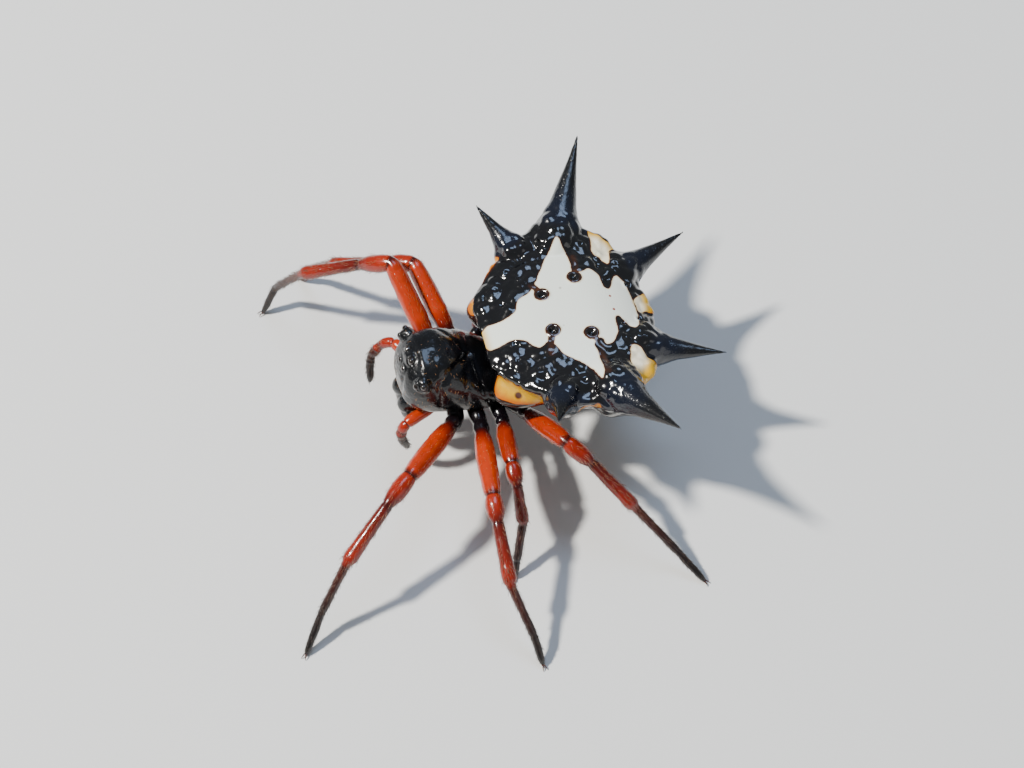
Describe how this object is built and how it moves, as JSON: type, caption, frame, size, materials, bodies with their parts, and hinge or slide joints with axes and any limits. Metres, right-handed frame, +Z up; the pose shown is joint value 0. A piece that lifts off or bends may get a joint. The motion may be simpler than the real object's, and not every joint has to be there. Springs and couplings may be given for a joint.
{
  "type": "spiny orb weaver spider",
  "caption": "Life-size still model of a female spiny orb weaver with a spined black and white abdomen, spread red legs and a black head.",
  "frame": {"origin": "on the floor, below the middle of the box round the whole spider", "axes": "+X to the spider's left, +Y to her rear so that she faces -Y, +Z up"},
  "size_m": [0.0202, 0.0182, 0.0076],
  "materials": {
    "shield": "hard glossy shell, bone white in the middle, black towards the rim and spines, yellow patches on the edge",
    "black_shell": "hard glossy black cuticle with a faint blue sheen",
    "red_cuticle": "glossy orange-red cuticle with fine pale hairs",
    "dark_red_cuticle": "glossy dark red cuticle with short bristles",
    "dark_cuticle": "brown-black cuticle with short bristles",
    "eye_lens": "polished black lens"
  },
  "bodies": {
    "root": {"abdomen": "shield", "spinnerets": "dark_cuticle", "cephalothorax": "black_shell", "pedicel": "dark_cuticle", "chelicera_left": "black_shell", "palp_left": "red_cuticle", "chelicera_right": "black_shell", "palp_right": "red_cuticle", "eye_front_median_left": "eye_lens", "eye_front_median_right": "eye_lens", "eye_rear_median_left": "eye_lens", "eye_rear_median_right": "eye_lens", "eye_front_lateral_left": "eye_lens", "eye_front_lateral_right": "eye_lens", "eye_rear_lateral_left": "eye_lens", "eye_rear_lateral_right": "eye_lens", "leg_1_left_femur": "red_cuticle", "leg_1_left_tibia": "dark_red_cuticle", "leg_1_left_foot": "dark_cuticle", "leg_1_right_femur": "red_cuticle", "leg_1_right_tibia": "dark_red_cuticle", "leg_1_right_foot": "dark_cuticle", "leg_2_left_femur": "red_cuticle", "leg_2_left_tibia": "dark_red_cuticle", "leg_2_left_foot": "dark_cuticle", "leg_2_right_femur": "red_cuticle", "leg_2_right_tibia": "dark_red_cuticle", "leg_2_right_foot": "dark_cuticle", "leg_3_left_femur": "red_cuticle", "leg_3_left_tibia": "dark_red_cuticle", "leg_3_left_foot": "dark_cuticle", "leg_3_right_femur": "red_cuticle", "leg_3_right_tibia": "dark_red_cuticle", "leg_3_right_foot": "dark_cuticle", "leg_4_left_femur": "red_cuticle", "leg_4_left_tibia": "dark_red_cuticle", "leg_4_left_foot": "dark_cuticle", "leg_4_right_femur": "red_cuticle", "leg_4_right_tibia": "dark_red_cuticle", "leg_4_right_foot": "dark_cuticle"}
  },
  "joints": []
}
